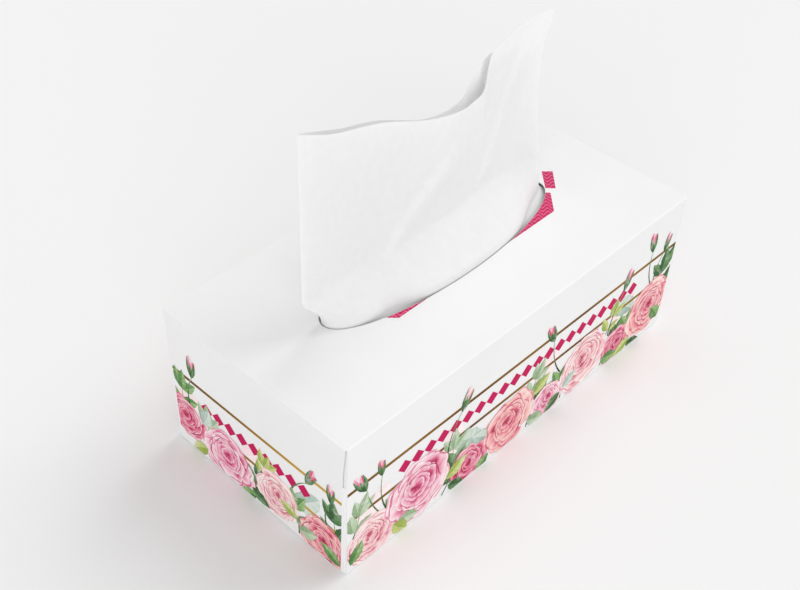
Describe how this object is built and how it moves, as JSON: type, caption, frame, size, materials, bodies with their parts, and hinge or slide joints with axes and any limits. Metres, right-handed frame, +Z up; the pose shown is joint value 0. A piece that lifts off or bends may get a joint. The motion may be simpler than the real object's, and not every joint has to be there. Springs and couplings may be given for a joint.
{
  "type": "tissue box",
  "caption": "Flat folded-card box of pop-up facial tissues with an oval opening in its top, one tissue standing up out of it and the stack inside.",
  "frame": {"origin": "middle of the carton's underside, which stands on the surface", "axes": "+X along the box's long side, +Y towards the back long side, +Z up through the opening"},
  "size_m": [0.23, 0.114, 0.185],
  "materials": {
    "printed_card": "white coated folding boxboard, satin, with a printed floral border",
    "stacked_tissue": "soft matt white tissue paper, folded in layers",
    "loose_tissue": "soft matt white tissue paper, slightly see-through"
  },
  "bodies": {
    "root": {"carton": "printed_card", "tissue_stack": "stacked_tissue", "pop_up_tissue": "loose_tissue"}
  },
  "joints": []
}
